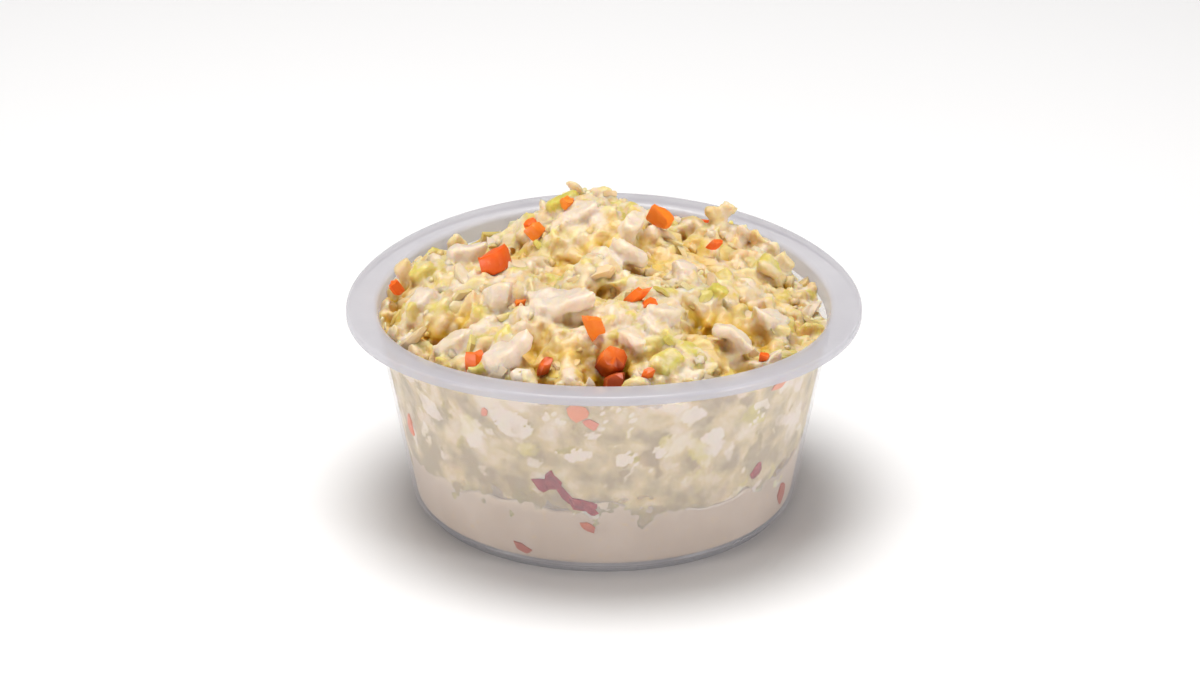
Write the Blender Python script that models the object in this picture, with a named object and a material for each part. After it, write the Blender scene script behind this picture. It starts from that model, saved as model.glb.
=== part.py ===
"""A portion cup of coleslaw: a thin milky plastic cup, the dressing pooled in its lower part and the heaped slaw.

Metres, +Z up. The origin is on the cup's axis, on the surface that the foot ring stands on.
The front of the cup is towards -Y.
"""

import math

import bmesh
import bpy

# The cup. Radii are of the outer side, heights are from the surface it stands on.
RIM_RADIUS = 0.0450
RIM_HEIGHT = 0.0379
WALL_TOP_RADIUS = 0.0403
WALL_DRAFT = math.radians(10.8)
WALL_THICKNESS = 0.0008
FLANGE_THICKNESS = 0.0008
LIP_DEPTH = 0.0015
LIP_THICKNESS = 0.0007
RIM_ROUNDING = 0.0006
MOUTH_ROUNDING = 0.0006
CORNER_RADIUS = 0.0020
FOOT_HEIGHT = 0.0011
FOOT_WIDTH = 0.0016
FOOT_DRAFT = 0.0001

# The soft cup's rim bows: up at the front and back, down at the two sides.
RIM_BOW = 0.0011

# The dressing that has settled, and the slaw from its top to the heap above the rim.
DRESSING_LEVEL = 0.0138
DRESSING_SWELL = 0.0008
SLAW_EDGE_HEIGHT = 0.0370
SLAW_EDGE_DIP = 0.0030
SLAW_DIP_ANGLE = math.radians(16)
CROWN_HEIGHT = 0.0102
CROWN_POWER = 2.6
LUMP_COUNT = 61
LUMP_HEIGHT = 0.0027
LUMP_RADIUS = 0.0037

# Where the heap is scooped lower, and with a negative depth piled higher: x, y, depth, radius.
SCOOPS = [
    (-0.017, 0.014, 0.0030, 0.0070),
    (-0.019, 0.027, 0.0042, 0.0090),
    (0.010, 0.016, 0.0014, 0.0060),
    (0.013, 0.025, 0.0028, 0.0060),
    (0.021, 0.020, -0.0024, 0.0045),
    (0.030, 0.014, -0.0018, 0.0045),
    (-0.034, 0.008, -0.0018, 0.0050),
]

# The gap that touching solids keep, and how finely the round shapes are divided.
GAP = 0.0003
CUP_SIDES = 64
ARC_STEPS = 3
DRESSING_CELLS = 14
SLAW_CELLS = 28
SMOOTH_ANGLE = math.radians(38)

GOLDEN_ANGLE = math.pi * (3 - math.sqrt(5))


def clear_scene():
    for obj in list(bpy.data.objects):
        bpy.data.objects.remove(obj, do_unlink=True)


def make_material(name, colour, roughness, alpha=1.0):
    """A Principled material of one colour."""
    material = bpy.data.materials.new(name)
    material.use_nodes = True
    shader = material.node_tree.nodes["Principled BSDF"]
    shader.inputs["Base Color"].default_value = (*colour, 1.0)
    shader.inputs["Roughness"].default_value = roughness
    shader.inputs["Metallic"].default_value = 0.0
    shader.inputs["Alpha"].default_value = alpha
    return material


def make_object(name, mesh, material):
    """The named object of a finished bmesh, with its faces outward and its round sides smooth."""
    bmesh.ops.triangulate(mesh, faces=mesh.faces)
    bmesh.ops.recalc_face_normals(mesh, faces=mesh.faces)
    data = bpy.data.meshes.new(name)
    mesh.to_mesh(data)
    mesh.free()
    data.shade_smooth()
    data.set_sharp_from_angle(angle=SMOOTH_ANGLE)
    data.materials.append(material)
    bpy.context.scene.collection.objects.link(bpy.data.objects.new(name, data))


def arc(centre, radius, start, end, steps=ARC_STEPS):
    """Points (radius from the axis, height) of an arc, from one angle to another."""
    points = []
    for step in range(steps + 1):
        angle = start + (end - start) * step / steps
        points.append((centre[0] + radius * math.cos(angle), centre[1] + radius * math.sin(angle)))
    return points


def outer_radius(height):
    """The cup wall's outer radius at a height, along its straight taper."""
    return WALL_TOP_RADIUS - (RIM_HEIGHT - height) * math.tan(WALL_DRAFT)


def inner_radius(height):
    return outer_radius(height) - WALL_THICKNESS / math.cos(WALL_DRAFT)


def contents_radius(height):
    """The radius of what fills the cup, a gap inside its wall."""
    return inner_radius(height) - GAP / math.cos(WALL_DRAFT)


def bowed(radius, angle, height):
    """A point's place once the rim has bowed, by more the higher it is and not at all at the foot."""
    lift = -RIM_BOW * math.cos(2 * angle) * (height / RIM_HEIGHT) ** 2 if radius > 0 else 0
    return radius * math.cos(angle), radius * math.sin(angle), height + lift


def bridge(mesh, upper, lower):
    """Joins two rings of the same number of vertices, one of which may be a single vertex on the axis."""
    sides = max(len(upper), len(lower))
    for side in range(sides):
        following = (side + 1) % sides
        corners = [upper[side % len(upper)], lower[side % len(lower)]]
        corners += [lower[following % len(lower)], upper[following % len(upper)]]
        mesh.faces.new(list(dict.fromkeys(corners)))


def turned_ring(mesh, radius, height, sides, first_angle=0.0):
    """The vertices of one profile point turned about Z, or the one vertex where it lies on the axis."""
    if radius == 0:
        return [mesh.verts.new((0, 0, height))]
    angles = [first_angle + 2 * math.pi * side / sides for side in range(sides)]
    return [mesh.verts.new(bowed(radius, angle, height)) for angle in angles]


def corner_centre(radius, wall_radius, floor_height):
    """The centre of the rounding between a tapered wall, given as a function, and a flat floor."""
    height = floor_height + radius
    return wall_radius(height) - radius / math.cos(WALL_DRAFT), height


def cup_profile():
    """The cup's section, from the middle of its floor up the inside, over the flange and down the outside."""
    floor = FOOT_HEIGHT + WALL_THICKNESS
    under_flange = RIM_HEIGHT - FLANGE_THICKNESS
    inner_rounding = CORNER_RADIUS - WALL_THICKNESS / 2
    inner_corner = corner_centre(inner_rounding, inner_radius, floor)
    points = [(0, floor), (inner_corner[0] / 2, floor)]
    points += arc(inner_corner, inner_rounding, -math.pi / 2, -WALL_DRAFT)
    half_way = (inner_corner[1] + RIM_HEIGHT) / 2
    points.append((inner_radius(half_way), half_way))

    mouth = (inner_radius(RIM_HEIGHT) + MOUTH_ROUNDING, RIM_HEIGHT - MOUTH_ROUNDING)
    points += arc(mouth, MOUTH_ROUNDING, math.pi - WALL_DRAFT, math.pi / 2, 2)
    edge = (RIM_RADIUS - RIM_ROUNDING, RIM_HEIGHT - RIM_ROUNDING)
    points += arc(edge, RIM_ROUNDING, math.pi / 2, 0)
    lip_bottom = RIM_HEIGHT - LIP_DEPTH
    points += [(RIM_RADIUS, lip_bottom), (RIM_RADIUS - LIP_THICKNESS, lip_bottom)]
    points += [(RIM_RADIUS - LIP_THICKNESS, under_flange), (outer_radius(under_flange), under_flange)]

    points.append((outer_radius(half_way), half_way))
    corner = corner_centre(CORNER_RADIUS, outer_radius, FOOT_HEIGHT)
    points += arc(corner, CORNER_RADIUS, -WALL_DRAFT, -math.pi / 2, 4)[:-1]
    foot = corner[0]
    points += [(foot + FOOT_DRAFT, FOOT_HEIGHT), (foot, 0), (foot - FOOT_WIDTH, 0)]
    points += [(foot - FOOT_WIDTH - FOOT_DRAFT, FOOT_HEIGHT), (foot / 2, FOOT_HEIGHT), (0, FOOT_HEIGHT)]
    return points


def make_cup(material):
    """The cup: floor, tapered wall, flat flange with a short lip turned down, rounded corner and foot ring."""
    mesh = bmesh.new()
    rings = [turned_ring(mesh, radius, height, CUP_SIDES) for radius, height in cup_profile()]
    for upper, lower in zip(rings, rings[1:]):
        bridge(mesh, upper, lower)
    make_object("cup", mesh, material)


def disc_place(column, row, cells):
    """(share of the radius, angle) of a square grid's point once the square is pressed into a disc."""
    across = 2 * column / cells - 1
    along = 2 * row / cells - 1
    if abs(across) > abs(along):
        share, angle = across, math.pi / 4 * along / across
    elif along:
        share, angle = along, math.pi / 2 - math.pi / 4 * across / along
    else:
        share, angle = 0.0, 0.0
    return abs(share), angle + (math.pi if share < 0 else 0)


def disc_grid(mesh, cells, place):
    """A disc of quads whose points place(share, angle) gives. Returns its edge, from the -45 degree corner round."""
    grid = {}
    for column in range(cells + 1):
        for row in range(cells + 1):
            share, angle = disc_place(column, row, cells)
            grid[column, row] = mesh.verts.new(bowed(*place(share, angle)))
    for column in range(cells):
        for row in range(cells):
            corners = [(column, row), (column + 1, row), (column + 1, row + 1), (column, row + 1)]
            mesh.faces.new([grid[corner] for corner in corners])
    edge = [(cells, step) for step in range(cells)]
    edge += [(cells - step, cells) for step in range(cells)]
    edge += [(0, cells - step) for step in range(cells)]
    edge += [(step, 0) for step in range(cells)]
    return [grid[corner] for corner in edge]


def make_contents(name, cells, top, bottom, side_profile, material):
    """A filling of the cup: two discs, each given as place(share, angle), joined down its side."""
    mesh = bmesh.new()
    rings = [disc_grid(mesh, cells, top)]
    for radius, height in side_profile:
        rings.append(turned_ring(mesh, radius, height, 4 * cells, -math.pi / 4))
    rings.append(disc_grid(mesh, cells, bottom))
    for upper, lower in zip(rings, rings[1:]):
        bridge(mesh, upper, lower)
    make_object(name, mesh, material)


def dressing_surface(share, angle):
    """The settled dressing's uneven top: slow waves across the cup that reach its wall."""
    reach = contents_radius(DRESSING_LEVEL)
    x = share * reach * math.cos(angle)
    y = share * reach * math.sin(angle)
    waves = math.sin(x / 0.0088 + 0.6) * math.cos(y / 0.0104 - 0.9)
    waves += 0.6 * math.sin((x - y) / 0.0071 + 2.2)
    height = DRESSING_LEVEL + DRESSING_SWELL * waves
    return share * contents_radius(height), angle, height


def make_dressing(material):
    """The dressing, a gap inside the cup, from its floor up to the settled level."""
    floor = FOOT_HEIGHT + WALL_THICKNESS + GAP
    rounding = CORNER_RADIUS - WALL_THICKNESS / 2
    corner = corner_centre(rounding, contents_radius, floor)

    def base(share, angle):
        return share * corner[0], angle, floor

    side = arc(corner, rounding, -WALL_DRAFT, -math.pi / 2)[:-1]
    make_contents("dressing", DRESSING_CELLS, dressing_surface, base, side, material)


def heap_lumps():
    """(x, y, height, radius) of the heap's lumps and hollows, along a sunflower spiral, no two alike."""
    found = []
    for index in range(LUMP_COUNT):
        angle = GOLDEN_ANGLE * index + 0.5
        radius = contents_radius(RIM_HEIGHT) * math.sqrt((index + 0.5) / LUMP_COUNT)
        height = LUMP_HEIGHT * math.sin(2.4 * index + 0.7)
        width = LUMP_RADIUS * (1 + 0.3 * math.sin(1.7 * index))
        found.append((radius * math.cos(angle), radius * math.sin(angle), height, width))
    return found


def slaw_edge(angle):
    """The height at which the slaw meets the cup's wall: at the rim in front, lower at the right."""
    dip = (0.5 + 0.5 * math.cos(angle - SLAW_DIP_ANGLE)) ** 4
    return SLAW_EDGE_HEIGHT - SLAW_EDGE_DIP * (dip + 0.16 * math.sin(5 * angle + 1))


def make_slaw(material):
    """The slaw, a gap inside the cup and above the dressing, up to the lumpy heap above the rim."""
    lumps = heap_lumps()

    def heap(share, angle):
        edge = slaw_edge(angle)
        radius = share * contents_radius(edge)
        x = radius * math.cos(angle)
        y = radius * math.sin(angle)
        height = edge * share + SLAW_EDGE_HEIGHT * (1 - share)
        height += CROWN_HEIGHT * (1 - share**CROWN_POWER)
        for lump_x, lump_y, lump_height, lump_radius in lumps:
            away = ((x - lump_x) ** 2 + (y - lump_y) ** 2) / lump_radius**2
            height += lump_height * math.exp(-away) * (1 - share**12)
        for scoop_x, scoop_y, depth, scoop_radius in SCOOPS:
            height -= depth * math.exp(-((x - scoop_x) ** 2 + (y - scoop_y) ** 2) / scoop_radius**2)
        return min(radius, contents_radius(height)), angle, height

    def base(share, angle):
        radius, angle, height = dressing_surface(share, angle)
        return radius, angle, height + GAP

    make_contents("slaw", SLAW_CELLS, heap, base, [], material)


def main():
    clear_scene()
    make_cup(make_material("milky_plastic", (0.66, 0.64, 0.68), 0.35, 0.45))
    make_dressing(make_material("creamy_dressing", (0.72, 0.63, 0.50), 0.35))
    make_slaw(make_material("chopped_slaw", (0.80, 0.74, 0.50), 0.45))


main()
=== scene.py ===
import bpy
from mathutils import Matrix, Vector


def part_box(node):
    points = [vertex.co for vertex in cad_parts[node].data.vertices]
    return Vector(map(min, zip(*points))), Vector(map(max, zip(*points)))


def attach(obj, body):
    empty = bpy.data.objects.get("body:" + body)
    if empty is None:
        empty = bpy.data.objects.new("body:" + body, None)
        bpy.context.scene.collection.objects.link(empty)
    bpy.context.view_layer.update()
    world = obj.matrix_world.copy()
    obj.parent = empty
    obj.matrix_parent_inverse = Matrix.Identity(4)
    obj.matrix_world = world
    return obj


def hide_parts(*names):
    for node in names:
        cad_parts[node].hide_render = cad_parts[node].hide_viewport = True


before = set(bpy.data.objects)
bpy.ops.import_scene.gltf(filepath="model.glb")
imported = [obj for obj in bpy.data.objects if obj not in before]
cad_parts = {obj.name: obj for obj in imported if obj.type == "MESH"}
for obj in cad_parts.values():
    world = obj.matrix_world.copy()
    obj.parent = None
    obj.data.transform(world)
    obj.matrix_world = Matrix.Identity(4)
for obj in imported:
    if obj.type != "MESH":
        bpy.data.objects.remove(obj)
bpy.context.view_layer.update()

import math

import bpy
import numpy as np
from mathutils import Vector

print("the fixed frame is in")

mm = 0.001
goldenAngle = math.pi * (3 - math.sqrt(5))


def smoothNoise(points, size, seed):
    # value noise: random numbers on a lattice of the given size, blended along each axis with 3t^2 - 2t^3
    lattice = np.random.default_rng(seed).uniform(-1, 1, (24, 24, 24))
    place = np.asarray(points) / size
    cell = np.floor(place).astype(int)
    part = place - cell
    part = part * part * (3 - 2 * part)
    total = np.zeros(place.shape[:-1])
    for corner in np.ndindex(2, 2, 2):
        weight = np.prod(np.where(np.array(corner) == 1, part, 1 - part), axis=-1)
        index = (cell + np.array(corner)) % 24
        total += weight * lattice[index[..., 0], index[..., 1], index[..., 2]]
    return total


def meshPiece(name, points, faces, material, sharpAngle=None, tones=None, places=None):
    # points is (n, 3); faces is a list of whole-number arrays, each (count, corners)
    mesh = bpy.data.meshes.new(name)
    points = np.asarray(points, np.float32).reshape(-1, 3)
    mesh.vertices.add(len(points))
    mesh.vertices.foreach_set("co", points.ravel())
    corners = np.concatenate([part.ravel() for part in faces])
    sizes = np.concatenate([np.full(len(part), part.shape[1]) for part in faces])
    mesh.loops.add(len(corners))
    mesh.loops.foreach_set("vertex_index", corners.astype(np.int32))
    mesh.polygons.add(len(sizes))
    mesh.polygons.foreach_set("loop_start", np.concatenate([[0], np.cumsum(sizes)[:-1]]).astype(np.int32))
    mesh.update(calc_edges=True)
    mesh.validate()
    mesh.shade_smooth()
    if sharpAngle:
        mesh.set_sharp_from_angle(angle=math.radians(sharpAngle))
    if tones is not None:
        attribute = mesh.attributes.new("tone", "FLOAT_COLOR", "POINT")
        attribute.data.foreach_set("color", np.asarray(tones, np.float32).ravel())
    if places is not None:
        attribute = mesh.attributes.new("bitPlace", "FLOAT_VECTOR", "POINT")
        attribute.data.foreach_set("vector", np.asarray(places, np.float32).ravel())
    mesh.materials.append(material)
    piece = bpy.data.objects.new(name, mesh)
    bpy.context.scene.collection.objects.link(piece)
    return piece


def turned(radius, angle, height):
    # points round the upright axis: (radius cos a, radius sin a, height)
    return np.stack([radius * np.cos(angle), radius * np.sin(angle), height], -1)


def ringFaces(rows, columns):
    # quads between successive rings of a grid whose columns close on themselves
    row, column = np.meshgrid(np.arange(rows - 1), np.arange(columns), indexing="ij")
    here = row * columns + column
    beside = row * columns + (column + 1) % columns
    return np.stack([here, here + columns, beside + columns, beside], -1).reshape(-1, 4)


def closedGridFaces(rows, columns):
    # a grid of rings with a pole at each end, the poles' points following the grid's. Its faces turn
    # outward when the profile runs up the inside and down the outside, or from the top's middle out and
    # down
    column = np.arange(columns)
    after = (column + 1) % columns
    start = rows * columns
    last = (rows - 1) * columns
    startFan = np.stack([np.full(columns, start), column, after], -1)
    endFan = np.stack([np.full(columns, start + 1), last + after, last + column], -1)
    return [ringFaces(rows, columns), startFan, endFan]


def turnedPiece(name, grid, startPole, endPole, material, sharpAngle=None):
    points = np.concatenate([grid.reshape(-1, 3), [startPole, endPole]])
    return meshPiece(name, points, closedGridFaces(*grid.shape[:2]), material, sharpAngle)


class Shader:
    # a material's node tree, with a short call for each kind of node that the finishes below use
    def __init__(self, name):
        self.material = bpy.data.materials.new(name)
        self.material.use_nodes = True
        self.tree = self.material.node_tree
        self.surface = self.tree.nodes["Principled BSDF"]

    def node(self, kind, values=None, **settings):
        made = self.tree.nodes.new(kind)
        for key, value in settings.items():
            setattr(made, key, value)
        for key, value in (values or {}).items():
            if isinstance(value, bpy.types.NodeSocket):
                self.tree.links.new(value, made.inputs[key])
            else:
                made.inputs[key].default_value = value
        return made

    def objectPlace(self):
        return self.node("ShaderNodeTexCoord").outputs["Object"]

    def attribute(self, name, output="Color"):
        return self.node("ShaderNodeAttribute", attribute_name=name).outputs[output]

    def noise(self, place, size, detail=3.0, roughness=0.55):
        made = self.node("ShaderNodeTexNoise", {"Vector": place, "Scale": 1 / size, "Detail": detail,
                                                "Roughness": roughness})
        return made.outputs["Fac"]

    def ramp(self, value, stops):
        made = self.node("ShaderNodeValToRGB", {"Fac": value})
        bar = made.color_ramp
        while len(bar.elements) < len(stops):
            bar.elements.new(0.5)
        for element, (position, colour) in zip(bar.elements, stops):
            element.position = position
            element.color = (*colour, 1)
        return made.outputs["Color"]

    def mix(self, share, first, second):
        made = self.node("ShaderNodeMix", data_type="RGBA")
        for socket, value in zip((made.inputs[0], made.inputs[6], made.inputs[7]), (share, first, second)):
            if isinstance(value, bpy.types.NodeSocket):
                self.tree.links.new(value, socket)
            else:
                socket.default_value = value if socket == made.inputs[0] else (*value, 1)
        return made.outputs[2]

    def math(self, operation, first, second, clamp=False):
        made = self.node("ShaderNodeMath", {0: first, 1: second}, operation=operation, use_clamp=clamp)
        return made.outputs[0]

    def spread(self, value, low, high):
        # carries 0..1 onto low..high
        made = self.node("ShaderNodeMapRange", {"Value": value, "To Min": low, "To Max": high})
        return made.outputs["Result"]

    def channel(self, colour, index):
        return self.node("ShaderNodeSeparateColor", {"Color": colour}).outputs[index]

    def bump(self, height, strength, distance):
        made = self.node("ShaderNodeBump", {"Height": height, "Strength": strength, "Distance": distance})
        return made.outputs["Normal"]

    def set(self, **values):
        names = {"colour": "Base Color", "roughness": "Roughness", "normal": "Normal", "alpha": "Alpha",
                 "scatter": "Subsurface Weight", "scatterScale": "Subsurface Scale",
                 "scatterRadius": "Subsurface Radius", "ior": "IOR"}
        for key, value in values.items():
            socket = self.surface.inputs[names[key]]
            if isinstance(value, bpy.types.NodeSocket):
                self.tree.links.new(value, socket)
            else:
                socket.default_value = value
        return self.material


studio = {
    "elevation": 23.9,       # degrees above the horizon
    "distance": 1.214,
    "lens": 208.4,
    "aim": (-0.0007, 0.0, 0.0302),
    "skyStrength": 0.10,
    "floorHalf": 3,
    "floorCells": 8,
    "softboxes": [           # name, place, size, power, colour
        ("softboxAbove", (-0.03, 0.05, 0.62), 0.42, 4.2, (1.0, 0.985, 0.975)),
        ("softboxFront", (-0.14, -1.0, 0.125), 0.34, 1.35, (1.0, 0.98, 0.97)),
        ("softboxLeft", (-0.80, -0.45, 0.11), 0.32, 4.1, (1.0, 0.985, 0.98)),
        ("softboxRight", (0.80, -0.45, 0.11), 0.32, 4.7, (0.98, 0.98, 1.0)),
    ],
}


def aimAt(thing, target):
    direction = Vector(target) - thing.location
    thing.rotation_euler = direction.to_track_quat("-Z", "Y").to_euler()


def makeCamera():
    camera = bpy.data.objects.new("camera", bpy.data.cameras.new("camera"))
    bpy.context.scene.collection.objects.link(camera)
    tilt = math.radians(studio["elevation"])
    back = Vector((0, -math.cos(tilt), math.sin(tilt)))
    camera.location = Vector(studio["aim"]) + studio["distance"] * back
    camera.data.lens = studio["lens"]
    camera.data.clip_start = 0.01
    camera.data.clip_end = 20
    aimAt(camera, studio["aim"])
    bpy.context.scene.camera = camera


def makeSoftbox(name, place, size, power, colour):
    light = bpy.data.lights.new(name, "AREA")
    light.shape = "DISK"
    light.size = size
    light.energy = power
    light.color = colour
    box = bpy.data.objects.new(name, light)
    bpy.context.scene.collection.objects.link(box)
    box.location = place
    aimAt(box, (0, 0, 0.02))


def makeStudio():
    makeCamera()
    for softbox in studio["softboxes"]:
        makeSoftbox(*softbox)
    world = bpy.data.worlds.new("studioSky")
    bpy.context.scene.world = world
    world.use_nodes = True
    sky = world.node_tree.nodes["Background"]
    sky.inputs["Color"].default_value = (0.97, 0.975, 1.0, 1)
    sky.inputs["Strength"].default_value = studio["skyStrength"]
    bpy.context.scene.view_settings.view_transform = "Standard"

    paint = Shader("paleFloor")
    shade = paint.noise(paint.objectPlace(), 0.4, 2.0)
    colour = paint.ramp(shade, [(0.3, (0.95, 0.95, 0.95)), (0.7, (0.96, 0.96, 0.96))])
    paint.set(colour=colour, roughness=0.8)
    cells = studio["floorCells"]
    across = cells + 1
    span = np.linspace(-studio["floorHalf"], studio["floorHalf"], across)
    x, y = np.meshgrid(span, span, indexing="ij")
    corner = (np.arange(cells)[:, None] * across + np.arange(cells)).ravel()
    faces = np.stack([corner, corner + across, corner + across + 1, corner + 1], -1)
    points = np.stack([x, y, np.zeros_like(x)], -1)
    meshPiece("floor", points, [faces], paint.material)


makeStudio()
print("camera, lights and floor are in")


rimBow = 1.1 * mm
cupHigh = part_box("cup")[1]
rimRadius = cupHigh.x
rimHeight = cupHigh.z - rimBow

cup = {
    "wallInset": 4.7 * mm,      # from the rim's edge in to the wall's outer side, at the rim's height
    "draft": math.radians(10.8),
    "wall": 0.8 * mm,
    "flange": 0.8 * mm,
    "lipDepth": 1.5 * mm,
    "lipWall": 0.7 * mm,
    "rimRounding": 0.6 * mm,
    "mouthRounding": 1.0 * mm,
    "corner": 2.0 * mm,
    "footHeight": 1.1 * mm,
    "footWidth": 1.6 * mm,
    "footDraft": 0.1 * mm,
    "sides": 288,
    "sharpAngle": 50,
    "bodyAlpha": 0.25,
    "rimAlpha": 0.60,
    "jointDepth": 3.0 * mm,     # how far below the rim the milkier, dry part of the wall ends
}
slope = math.tan(cup["draft"])
wallAcross = cup["wall"] / math.cos(cup["draft"])


def outerRadius(height):
    return rimRadius - cup["wallInset"] - (rimHeight - height) * slope


def innerRadius(height):
    return outerRadius(height) - wallAcross


def bowLift(angle, height):
    return -rimBow * np.cos(2 * angle) * (np.asarray(height) / rimHeight) ** 2


def arcPoints(centre, radius, start, end, steps):
    # an arc in the (radius, height) plane: centre + radius (cos a, sin a) for a from start to end
    angle = np.linspace(start, end, steps + 1)
    return np.stack([centre[0] + radius * np.cos(angle), centre[1] + radius * np.sin(angle)], -1)


def straight(start, end, steps):
    # points from start up to, but not including, end
    share = np.linspace(0, 1, steps, endpoint=False)[:, None]
    return np.array(start) * (1 - share) + np.array(end) * share


def cornerCentre(radius, wallRadius, floorHeight):
    height = floorHeight + radius
    return wallRadius(height) - radius / math.cos(cup["draft"]), height


def cupProfiles():
    # (radius, height) of the body, from the floor's middle up the inside and down the outside to the
    # foot, and of the rim that closes it: round the mouth, over the flange, round its lip and back under
    # it
    floor = cup["footHeight"] + cup["wall"]
    under = rimHeight - cup["flange"]
    innerRounding = cup["corner"] - cup["wall"] / 2
    inside = cornerCentre(innerRounding, innerRadius, floor)
    mouth = (innerRadius(rimHeight) + cup["mouthRounding"], rimHeight - cup["mouthRounding"])
    edge = (rimRadius - cup["rimRounding"], rimHeight - cup["rimRounding"])
    lipBottom = rimHeight - cup["lipDepth"]
    lipInside = rimRadius - cup["lipWall"]
    outside = cornerCentre(cup["corner"], outerRadius, cup["footHeight"])
    foot = outside[0]
    small = 0.15 * mm       # the rounding of the lip's and the foot's edges
    nook = under - 0.3 * mm
    joint = rimHeight - cup["jointDepth"]
    below = joint - 0.02 * mm
    body = [
        straight((inside[0] * 0.1, floor), (inside[0], floor), 6),
        arcPoints(inside, innerRounding, -math.pi / 2, -cup["draft"], 7),
        straight((innerRadius(inside[1] + 2 * mm), inside[1] + 2 * mm), (innerRadius(below), below), 12),
        [(innerRadius(below), below), (outerRadius(below), below)],
        straight((outerRadius(below - mm), below - mm), (outerRadius(outside[1]), outside[1]), 12),
        arcPoints(outside, cup["corner"], -cup["draft"], -math.pi / 2, 8)[:-1],
        [(foot + cup["footDraft"], cup["footHeight"]), (foot, small), (foot - small, 0)],
        [(foot - cup["footWidth"] + small, 0), (foot - cup["footWidth"], small)],
        [(foot - cup["footWidth"] - cup["footDraft"], cup["footHeight"])],
        straight((foot * 0.8, cup["footHeight"]), (foot * 0.1, cup["footHeight"]), 5),
    ]
    rim = [
        straight((innerRadius(joint), joint), mouthStart(mouth), 3),
        arcPoints(mouth, cup["mouthRounding"], math.pi - cup["draft"], math.pi / 2, 6),
        straight((mouth[0] + mm, rimHeight), (edge[0], rimHeight), 3),
        arcPoints(edge, cup["rimRounding"], math.pi / 2, 0, 6),
        arcPoints((rimRadius - small, lipBottom + small), small, 0, -math.pi / 2, 3),
        arcPoints((lipInside + small, lipBottom + small), small, -math.pi / 2, -math.pi, 3),
        [(lipInside, under), (outerRadius(under) + 0.5 * mm, under), (outerRadius(nook), nook)],
        [(outerRadius(joint + mm), joint + mm), (outerRadius(joint), joint)],
    ]
    return oneProfile(body), oneProfile(rim)


def oneProfile(parts):
    return np.concatenate([np.asarray(part, float).reshape(-1, 2) for part in parts])


def mouthStart(mouth):
    # where the straight inside wall meets the mouth's rounding
    angle = math.pi - cup["draft"]
    rounding = cup["mouthRounding"]
    return mouth[0] + rounding * math.cos(angle), mouth[1] + rounding * math.sin(angle)


def milkyPlastic(name, alpha):
    paint = Shader(name)
    place = paint.objectPlace()
    cloud = paint.noise(place, 0.016, 3.0)
    grain = paint.noise(place, 0.0009, 2.0)
    colour = paint.ramp(cloud, [(0.25, (0.57, 0.555, 0.595)), (0.75, (0.64, 0.625, 0.66))])
    return paint.set(colour=colour, roughness=paint.spread(cloud, 0.16, 0.28), alpha=alpha, ior=1.49,
                     normal=paint.bump(grain, 0.08, 0.0002))


def makeCup():
    # surfaces of revolution of the profiles, lifted by the rim's bow. The body is wetted by what fills it
    # and lets more of it through than the dry, milkier rim
    angle = np.arange(cup["sides"]) * 2 * math.pi / cup["sides"]
    grids = []
    for profile in cupProfiles():
        radius, height = profile[:, :1], profile[:, 1:]
        grids.append(turned(radius, angle, height + bowLift(angle, height)))
    floor, under = (0, 0, cup["footHeight"] + cup["wall"]), (0, 0, cup["footHeight"])
    wetted = milkyPlastic("wettedPlastic", cup["bodyAlpha"])
    body = turnedPiece("cupBody", grids[0], floor, under, wetted, cup["sharpAngle"])
    rows, columns = grids[1].shape[:2]
    around = ringFaces(rows + 1, columns) % (rows * columns)
    dry = milkyPlastic("milkyPlastic", cup["rimAlpha"])
    rim = meshPiece("cupRim", grids[1], [around], dry, cup["sharpAngle"])
    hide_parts("cup")
    for piece in (body, rim):
        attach(piece, "root")


makeCup()
print("the cup is made")


dressing = {
    "level": 13.8 * mm,
    "swell": 0.8 * mm,
    "climb": 3.4 * mm,      # how unevenly it climbs the wall between the bits
    "intoWall": 0.2,        # how far its side reaches into the wall, as a share of the wall
    "sides": 240,
}

heap = {
    "edgeHeight": 37.0 * mm,
    "edgeDip": 3.0 * mm,
    "dipAngle": math.radians(16),
    "crown": 10.2 * mm,
    "crownPower": 2.6,
    "lumps": 61,
    "lumpHeight": 2.7 * mm,
    "lumpRadius": 3.7 * mm,
    "coreDepth": 3.4 * mm,      # how far the core lies under the heap's surface
    "coreBottom": dressing["level"] - 5 * mm,
    "coreSides": 300,
    "pitSize": 7.5 * mm,
    "pitDepth": 2.0 * mm,
    "mouthRadius": 38.3 * mm,
    "lattice": 0.55 * mm,
    "smoothing": 1,
    "crumbles": [(0.46, 3.1, 13), (0.36, 1.6, 14), (0.22, 0.9, 15)],    # height and size in mm, seed
}

# hollows in the heap, x, y, depth, radius in mm: the narrow pits between its bits, then the broad dips
# and, with a negative depth, the swells of its far half
hollows = [(-28, -15.5, 3.4, 4.2), (0.6, 2.5, 2.6, 2.6), (16.3, -17, 2.6, 3.0), (27, -6, 2.4, 3.0),
           (19, 3.5, 2.0, 2.6), (-6.2, 5, 1.8, 2.2), (26, -17.5, 2.2, 2.8), (1.5, -33.5, 3.6, 3.0),
           (-10, -31.5, 1.6, 2.0), (-14.3, -14, 1.8, 2.4),
           (-17, 14, 3.0, 7.0), (-19, 27, 4.2, 9.0), (10, 16, 1.4, 6.0), (13, 25, 2.8, 6.0),
           (21, 20, -2.4, 4.5), (30, 14, -1.8, 4.5), (-34, 8, -1.8, 5.0)]
narrow = 4.5    # mm, a hollow under this radius counts as a pit


def dressingTop(x, y):
    waves = np.sin(x / 0.0088 + 0.6) * np.cos(y / 0.0104 - 0.9) + 0.6 * np.sin((x - y) / 0.0071 + 2.2)
    return dressing["level"] + dressing["swell"] * waves


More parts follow.
